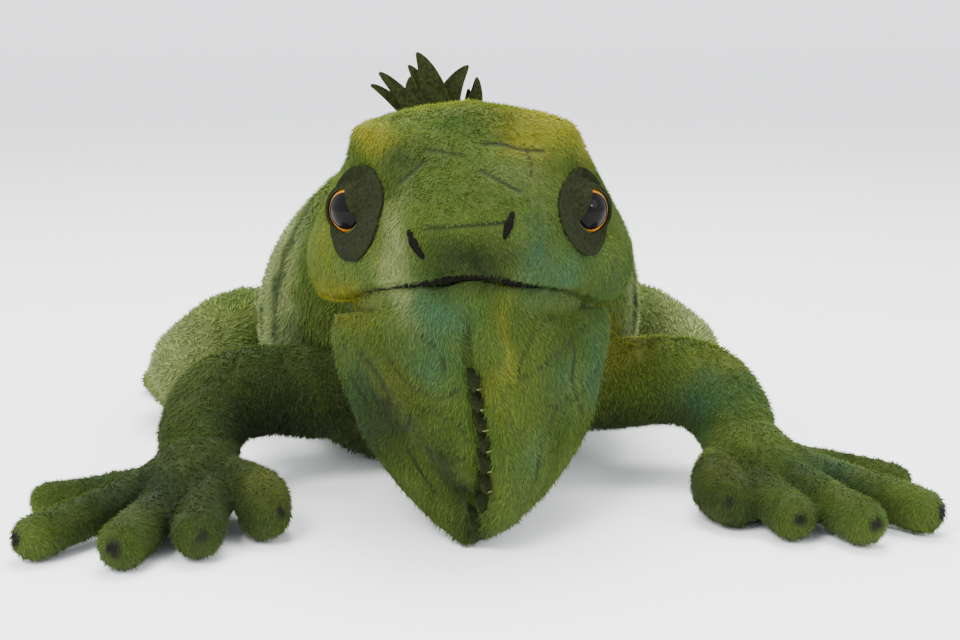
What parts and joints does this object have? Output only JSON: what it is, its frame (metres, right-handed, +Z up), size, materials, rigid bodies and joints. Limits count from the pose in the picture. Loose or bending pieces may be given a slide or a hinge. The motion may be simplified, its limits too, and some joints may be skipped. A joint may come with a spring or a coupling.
{
  "type": "hand puppet",
  "caption": "Plush lizard glove puppet lying on its belly: moving mouth with a broad dewlap, felt spikes, stuffed legs with fingered hands, and a long tail.",
  "frame": {"origin": "on the flat of the belly, where the puppet rests, between the shoulders and the hips", "axes": "+Z up, the puppet faces -Y with its tail along +Y, and +X is to its own left"},
  "size_m": [0.407, 0.686, 0.2109],
  "materials": {
    "plush": "short mottled green pile",
    "stuffing": "polyester fibre filling",
    "lining": "smooth dark lining cloth",
    "felt": "dark olive felt",
    "thread": "black chenille thread",
    "board": "stiff mouth board",
    "eye": "glossy safety eye with an amber ring",
    "washer": "white lock washer"
  },
  "bodies": {
    "body": {"body_skin": "plush", "belly_skin": "plush", "body_stuffing": "stuffing", "glove_lining": "lining", "hem_binding": "lining", "nape_spike_1": "felt", "nape_spike_2": "felt", "nape_spike_3": "felt", "nape_spike_4": "felt", "nape_spike_5": "felt", "back_crest_strip": "felt"},
    "neck": {"neck_skin": "plush", "neck_stuffing": "stuffing", "neck_lining": "lining"},
    "head": {"palate_board": "board", "upper_mouth_lining": "lining", "lip_stitching": "thread", "head_skin": "plush", "head_stuffing": "stuffing", "finger_pocket": "lining", "right_eye": "eye", "right_eye_washer": "washer", "left_eye": "eye", "left_eye_washer": "washer", "right_eye_patch": "felt", "left_eye_patch": "felt", "right_nostril_stitching": "thread", "left_nostril_stitching": "thread"},
    "jaw": {"jaw_skin": "plush", "jaw_stuffing": "stuffing", "thumb_pocket": "lining", "jaw_board": "board", "lower_mouth_lining": "lining"},
    "dewlap": {"right_dewlap_panel": "plush", "left_dewlap_panel": "plush", "dewlap_spike_1": "felt", "dewlap_spike_2": "felt", "dewlap_spike_3": "felt", "dewlap_spike_4": "felt", "dewlap_spike_5": "felt", "dewlap_spike_6": "felt", "dewlap_spike_7": "felt", "dewlap_spike_8": "felt"},
    "left_foreleg": {"left_foreleg_skin": "plush", "left_foreleg_stuffing": "stuffing"},
    "left_hand": {"left_hand_skin": "plush", "left_hand_stuffing": "stuffing"},
    "right_foreleg": {"right_foreleg_skin": "plush", "right_foreleg_stuffing": "stuffing"},
    "right_hand": {"right_hand_skin": "plush", "right_hand_stuffing": "stuffing"},
    "left_hindleg": {"left_hindleg_skin": "plush", "left_hindleg_stuffing": "stuffing"},
    "right_hindleg": {"right_hindleg_skin": "plush", "right_hindleg_stuffing": "stuffing"},
    "tail_base": {"tail_base_skin": "plush", "tail_base_stuffing": "stuffing"},
    "tail_tip": {"tail_tip_skin": "plush", "tail_tip_stuffing": "stuffing"}
  },
  "joints": [
    {"name": "neck_turn", "type": "hinge", "parent": "body", "child": "neck", "pos_m": [0, -0.085, 0.112], "axis": [0, 0, 1], "range_deg": [-20, 20]},
    {"name": "head_nod", "type": "hinge", "parent": "neck", "child": "head", "pos_m": [0, -0.085, 0.112], "axis": [0.9925, -0.1219, 0], "range_deg": [-20, 8]},
    {"name": "jaw_open", "type": "hinge", "parent": "head", "child": "jaw", "pos_m": [-0.00256, -0.10584, 0.099], "axis": [0.9925, -0.1219, 0], "range_deg": [0, 25]},
    {"name": "dewlap_swing", "type": "hinge", "parent": "jaw", "child": "dewlap", "pos_m": [-0.01176, -0.18077, 0.09115], "axis": [0.9925, -0.1219, 0], "range_deg": [-25, 5]},
    {"name": "left_shoulder", "type": "hinge", "parent": "body", "child": "left_foreleg", "pos_m": [0.0648, -0.06, 0.044], "axis": [0, 0, 1], "range_deg": [-15, 15]},
    {"name": "left_wrist", "type": "hinge", "parent": "left_foreleg", "child": "left_hand", "pos_m": [0.126, -0.098, 0.027], "axis": [1, 0, 0], "range_deg": [-18, 8]},
    {"name": "right_shoulder", "type": "hinge", "parent": "body", "child": "right_foreleg", "pos_m": [-0.0648, -0.06, 0.044], "axis": [0, 0, 1], "range_deg": [-15, 15]},
    {"name": "right_wrist", "type": "hinge", "parent": "right_foreleg", "child": "right_hand", "pos_m": [-0.126, -0.098, 0.027], "axis": [1, 0, 0], "range_deg": [-18, 8]},
    {"name": "left_hip", "type": "hinge", "parent": "body", "child": "left_hindleg", "pos_m": [0.08301, 0.088, 0.046], "axis": [0, 0, 1], "range_deg": [-12, 12]},
    {"name": "right_hip", "type": "hinge", "parent": "body", "child": "right_hindleg", "pos_m": [-0.08301, 0.088, 0.046], "axis": [0, 0, 1], "range_deg": [-12, 12]},
    {"name": "tail_root", "type": "hinge", "parent": "body", "child": "tail_base", "pos_m": [0, 0.164, 0.033], "axis": [0, 0, 1], "range_deg": [-25, 25]},
    {"name": "tail_middle", "type": "hinge", "parent": "tail_base", "child": "tail_tip", "pos_m": [0.0178, 0.29485, 0.01401], "axis": [0, 0, 1], "range_deg": [-30, 30]}
  ]
}
